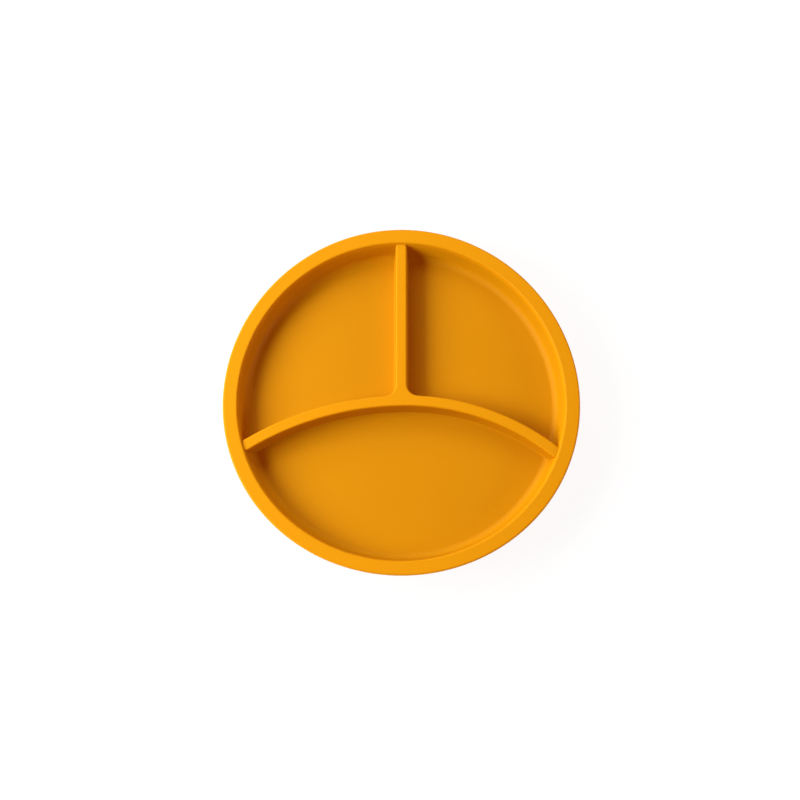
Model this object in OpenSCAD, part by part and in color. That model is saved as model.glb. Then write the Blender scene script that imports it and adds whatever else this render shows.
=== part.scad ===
// Round silicone plate with three compartments, moulded in one piece.
// Millimetres, +Z up. The origin is the middle of the ring that it stands on.
// A straight divider runs from the back of the rim to the middle, and a curved
// one bows up to meet it and runs from the left side of the rim to the right.

/* [Plate] */
// Diameter over the rim
plate_d = 180; // [160:1:220]
// Depth of the compartments, from the top of the rim to the floor
inner_depth = 12.5; // [10:0.5:24]
// Thickness of the floor
floor_t = 3.5; // [2:0.25:6]
// Slope of the inner wall, measured from upright
wall_draft = 16; // [4:1:24]
// Rounding where the inner wall meets the floor
wall_foot_r = 4; // [2:0.5:6]

/* [Rim] */
// Width of the rim, measured across its flat top
rim_w = 7.2; // [5:0.1:11]
// Rounding of the rim's outer edge
rim_outer_r = 1; // [0.5:0.1:2]
// Rounding of the rim's inner edge
rim_inner_r = 1.5; // [0.5:0.1:2]
// Slope of the outer wall, measured from upright
side_draft = 18; // [4:1:26]
// Rounding where the outer wall turns under the plate
side_foot_r = 8; // [3:0.5:10]

/* [Dividers] */
// Width of the dividers at the top
divider_w = 5.4; // [4:0.1:8]
// How far the top of the dividers lies below the top of the rim
divider_drop = 1.2; // [0.5:0.1:3]
// Slope of the sides of the dividers, measured from upright
divider_draft = 3; // [1:0.5:6]
// Rounding of the top edges of the dividers
divider_edge_r = 0.8; // [0.4:0.1:1.5]
// Rounding where the dividers meet the floor
divider_foot_r = 0.6; // [0.4:0.1:2]
// Rounding of the two inside corners where the dividers meet, seen from above
corner_r = 6.2; // [4:0.1:8]
// Rounding at the ends of the dividers, which leaves a fine groove along the wall
end_r = 0.8; // [0.4:0.1:1.5]

/* [Curved divider] */
// Radius of its left arm, along the middle line
left_arm_r = 153; // [120:1:220]
// Radius of its right arm, which bends a little tighter
right_arm_r = 118; // [100:1:220]
// Sideways place of its highest point, where the two arms meet
crest_x = 2.7; // [0:0.1:8]
// Place of its highest point, forwards or backwards of the middle of the plate
crest_y = 0; // [-8:0.1:8]

/* [Underside] */
// Height of the ring that the plate stands on
foot_h = 4; // [2:0.5:8]
// Outer diameter of that ring
foot_d = 128; // [100:1:140]
// Width of the ring where it stands
foot_w = 5; // [3:0.5:8]
// Slope of the sides of the ring, measured from upright
foot_draft = 12; // [2:1:20]
// Rounding of the lower edges of the ring
foot_edge_r = 1; // [0.5:0.1:1.4]
// Rounding where the ring meets the underside
foot_root_r = 2; // [0.5:0.5:3]

/* [Hidden] */
$fn = 180;

silicone = [0.93, 0.62, 0.10];

// Angle at which a rounding runs into its neighbours
crossing = 4;
// Fillets start this far under the surface that they run into, so that they cross it
blend = 0.01;
// Depth that the dividers are rooted in the floor
root = 1;
// Reach of what cuts or fills a corner, compared with the corner itself
overreach = 1.15;
// Width of the sunk strip beside a divider, compared with the fillet that it carries
strip = 1.5;
// Reach of a cutting outline beyond what it cuts
past = 3;

plate_r = plate_d / 2;
floor_z = foot_h + floor_t;
rim_z = floor_z + inner_depth;
inner_top_r = plate_r - rim_w;
inner_foot_r = inner_top_r - inner_depth * tan(wall_draft);
side_x = plate_r - rim_outer_r + rim_outer_r * tan(45 + side_draft / 2);
side_foot_x = side_x - (rim_z - foot_h) * tan(side_draft);
divider_h = inner_depth - divider_drop;
divider_z = floor_z + divider_h;

// Radius of the inner wall, the outer wall and the middle of the wall at height z
function inner_wall(z) = inner_top_r - (rim_z - z) * tan(wall_draft);
function outer_wall(z) = side_x - (rim_z - z) * tan(side_draft);
function mid_wall(z) = (inner_wall(z) + outer_wall(z)) / 2;

// Centre of an arm of the curved divider, from its radius
function arm_centre(arm_r) = [crest_x, crest_y - arm_r];

// Direction, seen from the arm's centre, in which the arm leaves the plate on the left (1) or right (-1)
function arm_end(arm_r, side) =
    let (c = arm_centre(arm_r), away = norm(c))
    atan2(-c.y, -c.x) + side * acos((arm_r * arm_r + away * away - plate_r * plate_r) / (2 * arm_r * away));

// What rounds the corner p of an outline: the region outside a circle of radius r that crosses both edges
module corner_piece(before, p, after, r) {
    u = (before - p) / norm(before - p);
    v = (after - p) / norm(after - p);
    half = acos(u * v) / 2;
    depth = r * cos(crossing);
    reach = depth / tan(half);
    centre = p + (u + v) / norm(u + v) * depth / sin(half);
    difference() {
        polygon([for (q = [centre, p + u * reach, p, p + v * reach]) centre + (q - centre) * overreach]);
        translate(centre) circle(r);
    }
}

// An outline of [x, y, radius] points, counterclockwise, with its corners rounded by true arcs
module rounded_outline(points) {
    n = len(points);
    at = [for (p = points) [p.x, p.y]];
    bulges = [for (i = [0:n - 1]) cross(at[i] - at[(i + n - 1) % n], at[(i + 1) % n] - at[i]) > 0];
    difference() {
        union() {
            polygon(at);
            for (i = [0:n - 1]) if (points[i][2] > 0 && !bulges[i])
                corner_piece(at[(i + 1) % n], at[i], at[(i + n - 1) % n], points[i][2]);
        }
        for (i = [0:n - 1]) if (points[i][2] > 0 && bulges[i])
            corner_piece(at[(i + n - 1) % n], at[i], at[(i + 1) % n], points[i][2]);
    }
}

// Half section of the round body: floor, wall, rim and the ring underneath
module body_section() {
    ring_out = foot_d / 2;
    ring_in = ring_out - foot_w;
    lean = foot_h * tan(foot_draft);
    rounded_outline([
        [0, foot_h, 0],
        [ring_in - lean, foot_h, foot_root_r],
        [ring_in, 0, foot_edge_r],
        [ring_out, 0, foot_edge_r],
        [ring_out + lean, foot_h, foot_root_r],
        [side_foot_x, foot_h, side_foot_r],
        [side_x, rim_z, rim_outer_r],
        [inner_top_r, rim_z, rim_inner_r],
        [inner_foot_r, floor_z, wall_foot_r],
        [0, floor_z, 0]
    ]);
}

module body() {
    rotate_extrude() body_section();
}

// Cross-section of a divider, standing on the floor at y = 0
module divider_section() {
    top = divider_w / 2;
    foot = top + (divider_h + blend) * tan(divider_draft);
    edge = foot + divider_foot_r * strip;
    rounded_outline([
        [-edge, -root, 0],
        [edge, -root, 0],
        [edge, -blend, 0],
        [foot, -blend, divider_foot_r],
        [top, divider_h, divider_edge_r],
        [-top, divider_h, divider_edge_r],
        [-foot, -blend, divider_foot_r],
        [-edge, -blend, 0]
    ]);
}

// The straight divider, from the middle line of the curved one to the back of the rim
module straight_divider() {
    translate([0, plate_r, floor_z]) rotate([90, 0, 0]) linear_extrude(plate_r - crest_y) divider_section();
}

// One arm of the curved divider, from its highest point to the rim
module arm(arm_r, side) {
    turn = abs(arm_end(arm_r, side) - 90);
    translate(concat(arm_centre(arm_r), floor_z)) mirror([side < 0 ? 1 : 0, 0, 0])
        rotate(90) rotate_extrude(angle = turn) translate([arm_r, 0]) divider_section();
}

// The rounded inside corner between the straight divider and an arm, on the left (-1) or right (1)
module corner_web(arm_r, side) {
    c = arm_centre(arm_r);
    reach = divider_w / 2 + corner_r - blend;
    axis = [side * reach, c.y + sqrt(pow(arm_r + reach, 2) - pow(side * reach - c.x, 2))];
    inside = -side * divider_w / 4;   // well within the straight divider
    outline = [axis, [inside, axis.y], [inside, crest_y], axis + (c - axis) / norm(c - axis) * reach];
    foot = corner_r - (divider_h + blend) * tan(divider_draft);
    difference() {
        translate([0, 0, floor_z - root]) linear_extrude(root + divider_h)
            polygon(side > 0 ? outline : [for (i = [3:-1:0]) outline[i]]);
        translate(concat(axis, floor_z)) rotate_extrude() rounded_outline([
            [0, -blend, 0],
            [foot, -blend, divider_foot_r],
            [corner_r, divider_h, divider_edge_r],
            [corner_r + past, divider_h, 0],
            [corner_r + past, divider_h + past, 0],
            [0, divider_h + past, 0]
        ]);
    }
}

// What rounds the ends of the dividers where they run into the wall
module end_rounding() {
    low = divider_z - end_r;
    end = inner_wall(low) + blend;
    rotate_extrude() rounded_outline([
        [end, low, 0],
        [plate_r + past, low, 0],
        [plate_r + past, rim_z + past, 0],
        [end - past, rim_z + past, 0],
        [end - past, divider_z + blend, 0],
        [end, divider_z + blend, end_r]
    ]);
}

// Both dividers, ending inside the wall
module dividers() {
    low = floor_z - root;
    difference() {
        intersection() {
            union() {
                straight_divider();
                arm(left_arm_r, 1);
                arm(right_arm_r, -1);
                corner_web(left_arm_r, -1);
                corner_web(right_arm_r, 1);
            }
            translate([0, 0, low - past])
                cylinder(h = rim_z - low + past, r1 = mid_wall(low - past), r2 = mid_wall(rim_z));
        }
        end_rounding();
    }
}

module plate() {
    color(silicone) union() {
        body();
        dividers();
    }
}

plate();
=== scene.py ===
# A round silicone plate with three compartments, moulded in one piece, on a white table under
# soft lamps. Metres, +Z up. The straight divider runs along +Y, and the plate stands on z = 0.

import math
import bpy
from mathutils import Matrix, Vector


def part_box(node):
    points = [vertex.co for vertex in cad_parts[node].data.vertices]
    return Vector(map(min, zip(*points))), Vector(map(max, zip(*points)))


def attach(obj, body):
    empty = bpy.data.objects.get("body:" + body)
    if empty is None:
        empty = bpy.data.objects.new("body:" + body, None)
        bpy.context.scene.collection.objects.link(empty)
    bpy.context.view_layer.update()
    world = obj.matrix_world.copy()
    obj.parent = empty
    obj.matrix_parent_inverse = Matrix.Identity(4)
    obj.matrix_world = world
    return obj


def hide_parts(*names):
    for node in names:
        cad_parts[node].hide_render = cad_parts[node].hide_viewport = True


bl_info = {
    "name": "Divided plate",
    "version": (1, 0, 0),
    "blender": (4, 5, 0),
    "location": "3D View > Sidebar > Plate",
    "description": "Models a moulded silicone plate with three compartments "
                   "and sets it up for a picture",
    "category": "Object",
}

import bmesh
import bpy
from bpy.props import FloatProperty, FloatVectorProperty, IntProperty, PointerProperty
from mathutils import Vector

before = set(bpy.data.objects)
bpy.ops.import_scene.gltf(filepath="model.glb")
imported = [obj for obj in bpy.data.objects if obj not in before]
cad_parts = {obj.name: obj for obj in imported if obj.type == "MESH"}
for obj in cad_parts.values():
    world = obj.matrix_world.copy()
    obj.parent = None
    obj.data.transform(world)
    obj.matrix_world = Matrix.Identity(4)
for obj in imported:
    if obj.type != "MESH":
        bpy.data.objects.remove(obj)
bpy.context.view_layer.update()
LOW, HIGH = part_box("plate")

UP = Vector((0, 0, 1))
MIDDLE = Vector((0, 0, 0))
QUARTER = math.radians(90)
WHITE = (1, 1, 1, 1)
PICTURE = 800                           # width of the picture, in pixels
SENSOR = 36                             # width of the camera's sensor, in millimetres

# Fineness of the mesh
SEGMENT_TURN = math.radians(9)          # most that a segment of the section's roundings turns
SEGMENT_SLACK = 0.01                    # share of a segment that gets no segment of its own
CLIMB_SEGMENTS = 7                      # in the roundings at the foot and the top of a divider
END_CORNER_SEGMENTS = 10                # in each corner at the dividers' ends
LONG_STEP = 0.0045                      # along the sides of the dividers
END_STEP = 0.006                        # along their ends, which are shorter, so each is one step
SHORT_STEP = 0.0005                     # along the rounded inside corners
ON_AXIS = 1e-6                          # vertices this close to the axis lie on it
OUTLINE_MERGE = 1e-6                    # vertices of the outline this close are one
JOIN_MERGE = 2e-6                       # vertices of the joined mesh this close are one
NO_AREA = 1e-6                          # edges shorter than this belong to no real face
END_CORNER = math.radians(130)          # corners of the outline below this are at an end
SHARP = math.radians(30)                # edges above this are shaded sharp

# How the dividers sit in the floor
SINK = 0.00002                          # start of their fillets under the floor
ROOT = 0.001                            # depth that they are rooted in the floor

# How the swell of the rim fades towards the middle, and how often it comes round
SWELL_FADE = 2
SWELL_LOBES = 3

# Finer points of the silicone: sizes in metres, detail in octaves of noise
PATCH = 0.03                            # size of the patches of uneven colour
PATCH_DETAIL = 3
GRAIN_DETAIL = 2
RIPPLE_DETAIL = 1
PAINTED_TOP_LIGHT_FROM = 0.004                     # under the top of the rim, where the painted light on the tops starts
PAINTED_TOP_LIGHT_FULL = 0.0015                    # and where it is full
GRAIN_ROUGHNESS = 0.12                  # swing of the roughness with the grain
PATCH_ROUGHNESS = 0.08                  # and with the patches
SILICONE_IOR = 1.41

TABLE_COLOUR = (0.8, 0.8, 0.8, 1)

# Sockets of the Mix node that hold its colours, since it has others of the same names
MIX_FIRST, MIX_SECOND, MIX_RESULT = 6, 7, 2


# Settings

def number(name, description, default, **kind):
    """A single number."""
    return FloatProperty(name=name, description=description, default=default, **kind)


def length(name, description, default):
    """A size, in metres."""
    return number(name, description, default, unit="LENGTH", precision=5)


def slope(name, description, degrees):
    """An angle, shown in degrees."""
    return number(name, description, math.radians(degrees), subtype="ANGLE")


def point(name, description, default):
    """A place seen from above, in metres."""
    return FloatVectorProperty(name=name, description=description, size=2, default=default,
                               unit="LENGTH", precision=5)


def triple(name, description, default, **kind):
    """Three numbers: a colour's, or one for the key, the back and the fill lamp."""
    return FloatVectorProperty(name=name, description=description, size=3, default=default, **kind)


class PlateBody(bpy.types.PropertyGroup):
    """Sizes of the round body."""

    diameter: length("Diameter", "Over the rim", HIGH.x - LOW.x)
    height: length("Height", "From the table to the top of the rim", HIGH.z - LOW.z)
    depth: length("Depth", "From the top of the rim to the floor of the compartments", 0.0125)
    wall_slope: slope("Inner slope", "Slope of the inner wall, measured from upright", 16)
    wall_foot: length("Inner foot", "Rounding where the inner wall meets the floor", 0.004)
    rim: length("Rim", "Width of the rim's flat top, between its sharp edges", 0.0072)
    rim_outside: length("Rim outside", "Rounding of the rim's outer edge", 0.001)
    rim_inside: length("Rim inside", "Rounding of the rim's inner edge", 0.001)
    side_slope: slope("Outer slope", "Slope of the outer wall, measured from upright", 18)
    side_foot: length("Outer foot", "Rounding where the outer wall turns under the plate", 0.008)
    swell: length("Swell", "How far the three ends of the dividers push the soft rim outwards",
                  0.00048)
    turns: IntProperty(name="Steps round", description="Steps in a full turn of the body",
                       default=288, min=48)


class PlateRing(bpy.types.PropertyGroup):
    """Sizes of the ring that the plate stands on."""

    height: length("Height", "From the table to the underside of the plate", 0.004)
    diameter: length("Diameter", "Outer diameter of the ring where it stands", 0.128)
    width: length("Width", "Width of the ring where it stands", 0.005)
    slope: slope("Slope", "Slope of the ring's sides, measured from upright", 12)
    edge: length("Edge", "Rounding of the ring's lower edges", 0.001)
    root: length("Root", "Rounding where the ring meets the underside", 0.002)


class PlateDividers(bpy.types.PropertyGroup):
    """Sizes of the straight and the curved divider."""

    width: length("Width", "Width of the dividers at the top", 0.0054)
    drop: length("Drop", "How far the dividers' top lies below the rim's", 0.0012)
    slope: slope("Slope", "Slope of the dividers' sides, measured from upright", 3)
    edge: length("Edge", "Rounding of the dividers' top edges", 0.0008)
    foot: length("Foot", "Rounding where the dividers meet the floor", 0.0006)
    corner: length("Corner", "Rounding of the inside corners where the dividers meet", 0.0062)
    end_sink: length("End sink", "How far the rounded ends of the dividers run into the wall",
                     0.00065)
    end_corner: length("End corner", "Rounding of the corners at the ends, seen from above",
                       0.0014)
    left_radius: length("Left radius", "Radius of the curved divider's left arm", 0.153)
    right_radius: length("Right radius", "Radius of the curved divider's right arm", 0.118)
    crest: point("Crest", "Highest point of the curved divider, where its arms meet", (0.0027, 0))


class SiliconeLook(bpy.types.PropertyGroup):
    """Colour and surface of the silicone."""

    colour: triple("Colour", "Orange-yellow of the pigment", (0.632, 0.277, 0.001),
                   subtype="COLOR", min=0, max=1)
    uneven: number("Unevenness", "How far the colour varies over the plate", 0.015)
    # Painted light and shade: the tops are painted lighter and the lower parts darker, for how the
    # light falls on them.
    painted_top_light: number("Rubbed tops", "How much lighter the rubbed tops are, and deeper the rest",
                   0.085)
    roughness: number("Roughness", "Mean roughness of the skin", 0.55, min=0, max=1)
    shine: number("Shine", "Strength of the reflections, 0.5 for clear silicone", 0.11)
    grain: length("Grain", "Size of the fine grain that the mould leaves", 0.0005)
    grain_depth: length("Grain depth", "Depth of the fine grain", 0.000006)
    ripple: length("Ripple", "Size of the slow unevenness of the skin", 0.014)
    ripple_depth: length("Ripple depth", "Depth of the slow unevenness", 0.00002)


class StageLook(bpy.types.PropertyGroup):
    """Soft lamps, even light, table and camera."""

    lamp_power: triple("Lamp powers", "Power of the key, the back and the fill lamp",
                       (11.5, 5.4, 2.25))
    lamp_warmth: triple("Lamp warmths", "Red in each lamp's light, against its green and blue",
                        (1, 1, 1.15))
    lamp_width: triple("Lamp widths", "Width of each lamp's face", (0.62, 0.8, 0.35),
                       unit="LENGTH")
    lamp_height: triple("Lamp heights", "Height of each lamp's face", (0.5, 0.5, 0.35),
                        unit="LENGTH")
    lamp_turn: triple("Lamp turns", "Where each lamp stands, turned from +X towards +Y",
                      [math.radians(a) for a in (187, 120, 350)], unit="ROTATION")
    lamp_rise: triple("Lamp rises", "How high each lamp stands, seen from the plate",
                      [math.radians(a) for a in (35, 36, 20)], unit="ROTATION")
    lamp_distance: length("Lamp distance", "From the plate to the middle of each lamp", 0.9)
    sky: triple("Even light", "Light from all round, warm like what silicone lets through",
                (0.2, 0.02, 0.005))
    table: length("Table", "Half the width of the table", 4.0)
    table_white: number("Table white", "Brightness of the table in the picture", 1.05)
    table_shade: number("Table shade", "Share of its own shading that the table shows", 0.12,
                        min=0, max=1)
    table_near: length("Table near", "Distance from the middle up to which it shows all of that",
                       0.2)
    table_far: length("Table far", "Distance beyond which the table is evenly white", 0.45)
    table_glow: number("Table glow", "Light that the table throws back besides the lamps'", 0.6)
    tilt: slope("Tilt", "Tilt of the camera from straight above, towards the front", 14.57)
    distance: length("Distance", "From the camera to the point that it looks at", 1.1)
    focal: number("Focal length", "In picture widths times the picture's pixels", 2184.5)
    aim: point("Aim", "Point at the rim's height that the camera looks at", (-0.00069, -0.00016))


# Geometry

def on_circle(centre, radius, angle):
    """The point of a level circle in a direction given by its angle from +X."""
    return centre + radius * Vector((math.cos(angle), math.sin(angle), 0))


def heading(start, end):
    """Direction from one point to another, as an angle from +X."""
    return math.atan2(end.y - start.y, end.x - start.x)


def corner_of(vert):
    """Angle between the two edges of an outline that meet in a vertex."""
    before, after = (edge.other_vert(vert).co - vert.co for edge in vert.link_edges)
    return before.angle(after)


def round_corner(bm, vert, radius, segments):
    """Rounds the corner of an outline at a vertex, with a true radius."""
    bmesh.ops.bevel(bm, geom=[vert], offset=radius / math.tan(corner_of(vert) / 2),
                    segments=segments, profile=0.5, affect="VERTICES", material=-1,
                    clamp_overlap=False)


def rounded_section(bm, corners):
    """Adds a face from (distance from the axis, height, radius) corners, and rounds them."""
    verts = [bm.verts.new((x, 0, z)) for x, z, _ in corners]
    bm.faces.new(verts)
    for vert, (_, _, radius) in zip(verts, corners):
        if radius:
            turn = math.pi - corner_of(vert)
            round_corner(bm, vert, radius, math.ceil(turn / SEGMENT_TURN - SEGMENT_SLACK))


def body_mesh(body, ring):
    """The round body: its half section is spun, then the floor and the underside are closed."""
    outside = body.diameter / 2
    floor = body.height - body.depth
    lean = ring.height * math.tan(ring.slope)
    stand_out = ring.diameter / 2
    stand_in = stand_out - ring.width
    side = (outside - body.rim_outside
            + body.rim_outside * math.tan(QUARTER / 2 + body.side_slope / 2))
    side_foot = side - (body.height - ring.height) * math.tan(body.side_slope)
    inside = outside - body.rim
    bm = bmesh.new()
    rounded_section(bm, [
        (0, ring.height, 0),
        (stand_in - lean, ring.height, ring.root),
        (stand_in, 0, ring.edge),
        (stand_out, 0, ring.edge),
        (stand_out + lean, ring.height, ring.root),
        (side_foot, ring.height, body.side_foot),
        (side, body.height, body.rim_outside),
        (inside, body.height, body.rim_inside),
        (inside - body.depth * math.tan(body.wall_slope), floor, body.wall_foot),
        (0, floor, 0),
    ])
    bmesh.ops.delete(bm, geom=[vert for vert in bm.verts if vert.co.x < ON_AXIS],
                     context="VERTS")
    bmesh.ops.spin(bm, geom=bm.verts[:] + bm.edges[:], cent=MIDDLE, axis=UP, angle=2 * math.pi,
                   steps=body.turns, use_merge=True)
    bmesh.ops.holes_fill(bm, edges=bm.edges[:], sides=0)
    bmesh.ops.recalc_face_normals(bm, faces=bm.faces[:])
    return bm


def climb(dividers, height):
    """Steps of (inset, rise) up a divider's side: fillet, sloping side, rounded edge."""
    upright = QUARTER - dividers.slope
    curves = []
    for radius, start, stop in ((dividers.foot, 0, upright), (dividers.edge, upright, 0)):
        angles = [start + (stop - start) * i / CLIMB_SEGMENTS for i in range(CLIMB_SEGMENTS + 1)]
        curves.append([
            (radius * abs(math.sin(b) - math.sin(a)), radius * abs(math.cos(b) - math.cos(a)))
            for a, b in zip(angles, angles[1:])])
    foot, edge = curves
    side = height - sum(rise for _, rise in foot + edge)
    return foot + [(side * math.tan(dividers.slope), side)] + edge


def edge_reach(dividers):
    """How far the sharp top edge, which the sizes hold for, lies outside its rounding's end."""
    return dividers.edge * math.tan((QUARTER - dividers.slope) / 2)


def arm_end(centre, radius, reach, left):
    """Direction, seen from an arm's centre, in which its circle leaves the circle of a reach."""
    away = centre.length
    spread = math.acos((radius ** 2 + away ** 2 - reach ** 2) / (2 * radius * away))
    return math.atan2(-centre.y, -centre.x) + (spread if left else -spread)


def trace(bm, arcs):
    """Adds a closed outline of arcs, each (centre, radius, angles, step), joined by lines."""
    ends = []
    for centre, radius, (start, stop), step in arcs:
        first = bm.verts.new(on_circle(centre, radius, start))
        steps = math.ceil(abs(stop - start) * radius / step)
        spun = bmesh.ops.spin(bm, geom=[first], cent=centre, axis=UP, angle=stop - start,
                              steps=steps)
        last = next(v for v in spun["geom_last"] if isinstance(v, bmesh.types.BMVert))
        ends.append((first, last))
    for (_, last), (first, _) in zip(ends, ends[1:] + ends[:1]):
        bm.edges.new((last, first))
    bmesh.ops.remove_doubles(bm, verts=bm.verts[:], dist=OUTLINE_MERGE)


def dividers_outline(dividers, inset, end_reach):
    """Arcs of the dividers' outline at the floor, counterclockwise from the curved one's left end.

    The inset is what the climb to the top takes from the outline. A step next to a sharp corner
    is longer than that.
    """
    spread = inset - edge_reach(dividers)
    half = dividers.width / 2 + spread
    web = dividers.corner - spread
    crest = Vector((*dividers.crest, 0))
    left, right = dividers.left_radius, dividers.right_radius
    left_mid = crest - Vector((0, left, 0))
    right_mid = crest - Vector((0, right, 0))

    def web_middle(mid, radius, side):
        """Middle of the rounding between an arm and the straight divider, on side -1 or 1."""
        x = side * (half + web)
        y = mid.y + math.sqrt((radius + half + web) ** 2 - (x - mid.x) ** 2)
        return Vector((x, y, 0))

    left_web = web_middle(left_mid, left, -1)
    right_web = web_middle(right_mid, right, 1)
    south_left = arm_end(left_mid, left - half, end_reach, True)
    south_right = arm_end(right_mid, right - half, end_reach, False)
    north_left = arm_end(left_mid, left + half, end_reach, True)
    north_right = arm_end(right_mid, right + half, end_reach, False)
    back = math.asin(half / end_reach)
    end_right = [heading(MIDDLE, on_circle(right_mid, right - half, south_right)),
                 heading(MIDDLE, on_circle(right_mid, right + half, north_right))]
    end_left = [heading(MIDDLE, on_circle(left_mid, left + half, north_left)) % (2 * math.pi),
                heading(MIDDLE, on_circle(left_mid, left - half, south_left)) % (2 * math.pi)]
    web_right = heading(right_web, right_mid) % (2 * math.pi)
    return [
        (left_mid, left - half, (south_left, QUARTER), LONG_STEP),
        (right_mid, right - half, (QUARTER, south_right), LONG_STEP),
        (MIDDLE, end_reach, end_right, END_STEP),
        (right_mid, right + half, (north_right, heading(right_mid, right_web)), LONG_STEP),
        (right_web, web, (web_right, math.pi), SHORT_STEP),
        (MIDDLE, end_reach, (QUARTER - back, QUARTER + back), END_STEP),
        (left_web, web, (0, heading(left_web, left_mid)), SHORT_STEP),
        (left_mid, left + half, (heading(left_mid, left_web), north_left), LONG_STEP),
        (MIDDLE, end_reach, end_left, END_STEP),
    ]


def dividers_mesh(body, dividers):
    """Both dividers as one solid: their outline at the floor is inset and raised to their top."""
    floor = body.height - body.depth
    steps = climb(dividers, body.depth - dividers.drop + SINK)
    inset = sum(step for step, _ in steps)
    # Distance of the wall from the axis at the height where the top edges' rounding starts
    drop = dividers.drop + dividers.edge
    wall = body.diameter / 2 - body.rim - drop * math.tan(body.wall_slope)
    bm = bmesh.new()
    trace(bm, dividers_outline(dividers, inset, wall + inset - dividers.edge + dividers.end_sink))
    bmesh.ops.contextual_create(bm, geom=bm.edges[:])
    for vert in [vert for vert in bm.verts if corner_of(vert) < END_CORNER]:
        round_corner(bm, vert, dividers.end_corner + inset - edge_reach(dividers),
                     END_CORNER_SEGMENTS)
    top = bm.faces[:]
    bmesh.ops.recalc_face_normals(bm, faces=top)
    if top[0].normal.z < 0:
        bmesh.ops.reverse_faces(bm, faces=top)
    bmesh.ops.translate(bm, verts=bm.verts[:], vec=(0, 0, floor - SINK))
    for thickness, rise in steps:
        bmesh.ops.inset_region(bm, faces=top, thickness=thickness, depth=rise,
                               use_even_offset=True, use_boundary=True)
    border = [edge for edge in bm.edges if edge.is_boundary]
    skirt = bmesh.ops.extrude_edge_only(bm, edges=border)
    low = [vert for vert in skirt["geom"] if isinstance(vert, bmesh.types.BMVert)]
    bmesh.ops.translate(bm, verts=low, vec=(0, 0, -ROOT))
    bmesh.ops.holes_fill(bm, edges=[edge for edge in bm.edges if edge.is_boundary], sides=0)
    bmesh.ops.recalc_face_normals(bm, faces=bm.faces[:])
    return bm


def new_object(name, bm):
    """An object at the origin that holds a bmesh, which is freed."""
    mesh = bpy.data.meshes.new(name)
    bm.to_mesh(mesh)
    bm.free()
    piece = bpy.data.objects.new(name, mesh)
    bpy.context.scene.collection.objects.link(piece)
    return piece


def fuse(piece, other):
    """Joins another closed object into the piece, and removes the other."""
    join = piece.modifiers.new("join", "BOOLEAN")
    join.operation = "UNION"
    join.solver = "EXACT"
    join.object = other
    bpy.context.view_layer.update()
    shown = piece.evaluated_get(bpy.context.evaluated_depsgraph_get())
    joined = bpy.data.meshes.new_from_object(shown)
    piece.modifiers.remove(join)
    old = piece.data
    piece.data = joined
    joined.name = piece.name
    bpy.data.meshes.remove(old)
    bpy.data.meshes.remove(other.data)


def tidy_mesh(piece):
    """Merges what the join left doubled, and turns all faces outwards."""
    bm = bmesh.new()
    bm.from_mesh(piece.data)
    bmesh.ops.remove_doubles(bm, verts=bm.verts[:], dist=JOIN_MERGE)
    bmesh.ops.dissolve_degenerate(bm, edges=bm.edges[:], dist=NO_AREA)
    bmesh.ops.recalc_face_normals(bm, faces=bm.faces[:])
    bm.to_mesh(piece.data)
    bm.free()


def swell(piece, amount, radius):
    """Moves the rim out by up to the amount at the dividers' ends, and in as much between them."""
    for vert in piece.data.vertices:
        flat = Vector((vert.co.x, vert.co.y))
        away = flat.length / radius
        lobe = -math.sin(SWELL_LOBES * math.atan2(flat.y, flat.x))
        stretch = 1 + amount / radius * away ** SWELL_FADE * lobe
        vert.co.x *= stretch
        vert.co.y *= stretch


def smooth(piece, angle):
    """Smooth shading with edges kept over the given angle, led by the large faces."""
    piece.data.shade_smooth()
    piece.data.set_sharp_from_angle(angle=angle)
    weighted = piece.modifiers.new("weighted normals", "WEIGHTED_NORMAL")
    weighted.keep_sharp = True


# Shaders

class Value:
    """An output of a shader node that takes part in plain expressions."""

    def __init__(self, shader, socket):
        self.shader = shader
        self.socket = socket

    def _maths(self, operation, *values):
        return self.shader.node("ShaderNodeMath", {"operation": operation},
                                dict(enumerate(values)))

    def __add__(self, other):
        return self._maths("ADD", self, other)

    def __radd__(self, other):
        return self._maths("ADD", other, self)

    def __sub__(self, other):
        return self._maths("SUBTRACT", self, other)

    def __rsub__(self, other):
        return self._maths("SUBTRACT", other, self)

    def __mul__(self, other):
        return self._maths("MULTIPLY", self, other)

    def __rmul__(self, other):
        return self._maths("MULTIPLY", other, self)


class Shader:
    """Builds the node tree of a material or a world."""

    def __init__(self, owner):
        owner.use_nodes = True
        self.tree = owner.node_tree
        self.tree.nodes.clear()

    def node(self, kind, settings=None, inputs=None, output=0):
        """Adds a node with its settings and the values or links of its sockets.

        Returns the output of the given name or number, if the node has any.
        """
        made = self.tree.nodes.new(kind)
        for name, value in (settings or {}).items():
            setattr(made, name, value)
        for key, value in (inputs or {}).items():
            if isinstance(value, Value):
                self.tree.links.new(value.socket, made.inputs[key])
            else:
                made.inputs[key].default_value = value
        return Value(self, made.outputs[output]) if made.outputs else None

    def noise(self, place, size, detail):
        """Soft noise from 0 to 1 whose features measure about size, in metres."""
        return self.node("ShaderNodeTexNoise", {},
                         {"Vector": place, "Scale": 1 / size, "Detail": detail})

    def ease(self, value, start, stop, first=0, last=1):
        """Goes smoothly from first to last while the value goes from start to stop."""
        return self.node("ShaderNodeMapRange", {"interpolation_type": "SMOOTHSTEP"},
                         {"Value": value, "From Min": start, "From Max": stop,
                          "To Min": first, "To Max": last})

    def mix_colours(self, share, first, second):
        """The first colour where the share is 0, and the second where it is 1."""
        return self.node("ShaderNodeMix", {"data_type": "RGBA"},
                         {"Factor": share, MIX_FIRST: (*first, 1), MIX_SECOND: (*second, 1)},
                         MIX_RESULT)

    def mix_shaders(self, share, first, second):
        """The first shader where the share is 0, and the second where it is 1."""
        return self.node("ShaderNodeMixShader", {}, {0: share, 1: first, 2: second})

    def emission(self, strength):
        """White light given off by a surface."""
        return self.node("ShaderNodeEmission", {}, {"Color": WHITE, "Strength": strength})


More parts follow.
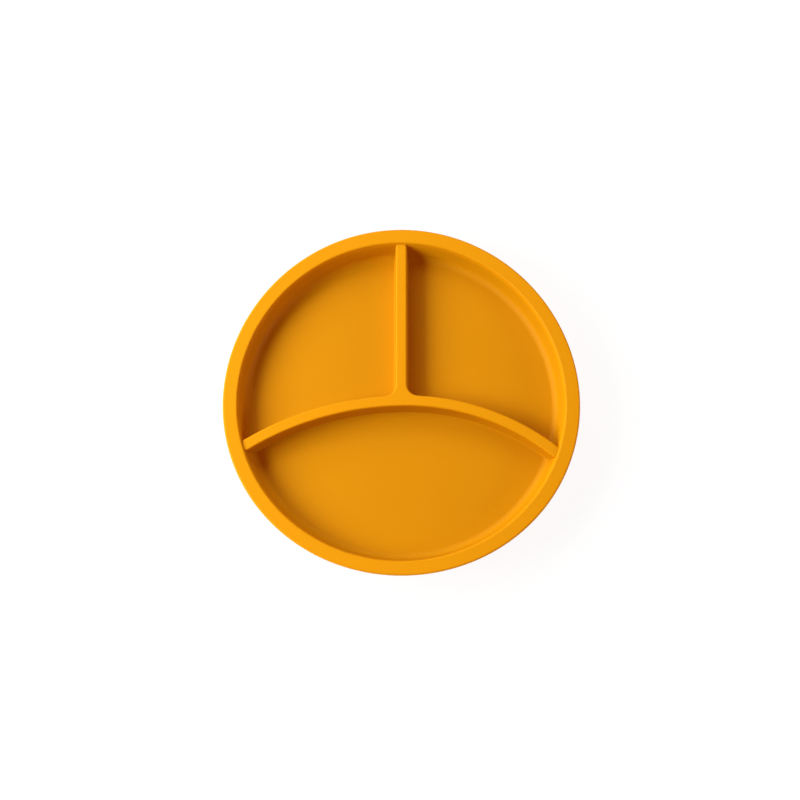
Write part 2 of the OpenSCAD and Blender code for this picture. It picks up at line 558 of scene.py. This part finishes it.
def silicone_material(look, rim):
    """Matt coloured silicone with a fine grain and a slow unevenness, painted light on top and
    painted shade lower down.
    """
    material = bpy.data.materials.new("silicone")
    shader = Shader(material)
    place = shader.node("ShaderNodeTexCoord", output="Object")
    patches = shader.noise(place, PATCH, PATCH_DETAIL)
    grain = shader.noise(place, look.grain, GRAIN_DETAIL)
    ripple = shader.noise(place, look.ripple, RIPPLE_DETAIL)
    height = shader.node("ShaderNodeSeparateXYZ", {}, {"Vector": place}, "Z")
    # Painted light and shade: the colour is lighter towards the top of the rim and dividers, and
    # darker lower down.
    painted_top_light = shader.ease(height, rim - PAINTED_TOP_LIGHT_FROM, rim - PAINTED_TOP_LIGHT_FULL)
    swing = look.uneven + look.painted_top_light
    share = (patches * look.uneven + painted_top_light * look.painted_top_light) * (1 / swing)
    colour = shader.mix_colours(share, [c * (1 - swing) for c in look.colour],
                                [min(1, c * (1 + swing)) for c in look.colour])
    relief = grain * look.grain_depth + ripple * look.ripple_depth
    bump = shader.node("ShaderNodeBump", {}, {"Strength": 1, "Distance": 1, "Height": relief})
    roughness = (look.roughness + (grain - 0.5) * GRAIN_ROUGHNESS
                 + (patches - 0.5) * PATCH_ROUGHNESS)
    skin = shader.node(
        "ShaderNodeBsdfPrincipled", {},
        {"Base Color": colour, "Roughness": roughness, "Normal": bump, "IOR": SILICONE_IOR,
         "Specular IOR Level": look.shine})
    shader.node("ShaderNodeOutputMaterial", {}, {"Surface": skin})
    return material


def table_material(look):
    """White table that shows a share of its shading near the plate, and is clear from below."""
    material = bpy.data.materials.new("table")
    shader = Shader(material)
    camera = shader.node("ShaderNodeLightPath", output="Is Camera Ray")
    below = shader.node("ShaderNodeNewGeometry", output="Backfacing")
    place = shader.node("ShaderNodeTexCoord", output="Object")
    away = shader.node("ShaderNodeVectorMath", {"operation": "LENGTH"}, {0: place}, "Value")
    shade = shader.ease(away, look.table_near, look.table_far, look.table_shade, 0)
    board = shader.node("ShaderNodeBsdfDiffuse", {}, {"Color": TABLE_COLOUR})
    lit = shader.node("ShaderNodeAddShader", {}, {0: board, 1: shader.emission(look.table_glow)})
    seen = shader.mix_shaders(shade, shader.emission(look.table_white), board)
    clear = shader.node("ShaderNodeBsdfTransparent")
    table = shader.mix_shaders(camera * below, shader.mix_shaders(camera, lit, seen), clear)
    shader.node("ShaderNodeOutputMaterial", {}, {"Surface": table})
    return material


# Operators

class PLATE_OT_mould(bpy.types.Operator):
    """Model the plate, with its dividers fused to its body, and give it its silicone."""

    bl_idname = "plate.mould"
    bl_label = "Mould the plate"

    def execute(self, context):
        scene = context.scene
        body = scene.plate_body
        plate = new_object("moulded_plate", body_mesh(body, scene.plate_ring))
        fuse(plate, new_object("dividers", dividers_mesh(body, scene.plate_dividers)))
        tidy_mesh(plate)
        swell(plate, body.swell, body.diameter / 2)
        smooth(plate, SHARP)
        plate.data.materials.clear()
        plate.data.materials.append(silicone_material(scene.plate_silicone, body.height))
        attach(plate, "root")
        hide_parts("plate")
        return {"FINISHED"}


class PLATE_OT_set_stage(bpy.types.Operator):
    """Set the white table, the soft lamps, the even light and the camera."""

    bl_idname = "plate.set_stage"
    bl_label = "Set the stage"

    def execute(self, context):
        look = context.scene.plate_stage
        self.table(look)
        for name, *settings in zip(("key lamp", "back lamp", "fill lamp"), look.lamp_power,
                                   look.lamp_width, look.lamp_height, look.lamp_turn,
                                   look.lamp_rise, look.lamp_warmth):
            self.lamp(name, look.lamp_distance, *settings)
        self.sky(context.scene, look)
        self.camera(context.scene, look)
        context.scene.view_settings.view_transform = "Standard"
        return {"FINISHED"}

    def table(self, look):
        bm = bmesh.new()
        bmesh.ops.create_grid(bm, x_segments=1, y_segments=1, size=look.table)
        table = new_object("table", bm)
        table.data.materials.append(table_material(look))

    def lamp(self, name, distance, power, width, height, turn, rise, warmth):
        light = bpy.data.lights.new(name, "AREA")
        light.shape = "RECTANGLE"
        light.size = width
        light.size_y = height
        light.energy = power
        light.color = (warmth, 1, 1)
        lamp = bpy.data.objects.new(name, light)
        level = math.cos(rise)
        towards = Vector((math.cos(turn) * level, math.sin(turn) * level, math.sin(rise)))
        lamp.location = towards * distance
        lamp.rotation_euler = (-towards).to_track_quat("-Z", "Y").to_euler()
        lamp.visible_camera = False
        bpy.context.scene.collection.objects.link(lamp)

    def sky(self, scene, look):
        world = bpy.data.worlds.new("sky")
        shader = Shader(world)
        camera = shader.node("ShaderNodeLightPath", output="Is Camera Ray")
        colour = shader.mix_colours(camera, look.sky, WHITE[:3])
        glow = shader.node("ShaderNodeBackground", {}, {"Color": colour, "Strength": 1})
        shader.node("ShaderNodeOutputWorld", {}, {"Surface": glow})
        scene.world = world

    def camera(self, scene, look):
        data = bpy.data.cameras.new("camera")
        data.sensor_width = SENSOR
        data.lens = look.focal / PICTURE * SENSOR
        camera = bpy.data.objects.new("camera", data)
        target = Vector((*look.aim, HIGH.z))
        towards = Vector((0, -math.sin(look.tilt), math.cos(look.tilt)))
        camera.location = target + look.distance * towards
        camera.rotation_euler = (look.tilt, 0, 0)
        scene.collection.objects.link(camera)
        scene.camera = camera


class PLATE_PT_panel(bpy.types.Panel):
    """Lists the sizes and the looks, and the two steps that use them."""

    bl_idname = "PLATE_PT_panel"
    bl_label = "Divided plate"
    bl_space_type = "VIEW_3D"
    bl_region_type = "UI"
    bl_category = "Plate"

    def draw(self, context):
        for name in GROUPS:
            group = getattr(context.scene, name)
            box = self.layout.box()
            for key in group.bl_rna.properties.keys():
                if key not in ("rna_type", "name"):
                    box.prop(group, key)
        for operator in OPERATORS:
            self.layout.operator(operator.bl_idname)


GROUPS = {
    "plate_body": PlateBody,
    "plate_ring": PlateRing,
    "plate_dividers": PlateDividers,
    "plate_silicone": SiliconeLook,
    "plate_stage": StageLook,
}
OPERATORS = (PLATE_OT_mould, PLATE_OT_set_stage)


def register():
    """Registers the classes, and hangs each group of settings on the scene."""
    for cls in (*GROUPS.values(), *OPERATORS, PLATE_PT_panel):
        bpy.utils.register_class(cls)
    for name, group in GROUPS.items():
        setattr(bpy.types.Scene, name, PointerProperty(type=group))


def unregister():
    """Takes the settings and the classes away again."""
    for name in GROUPS:
        delattr(bpy.types.Scene, name)
    for cls in (PLATE_PT_panel, *reversed(OPERATORS), *reversed(GROUPS.values())):
        bpy.utils.unregister_class(cls)


def main():
    """Makes the whole scene."""
    register()
    bpy.ops.plate.mould()
    bpy.ops.plate.set_stage()
    bpy.context.view_layer.update()


if __name__ == "__main__":
    main()
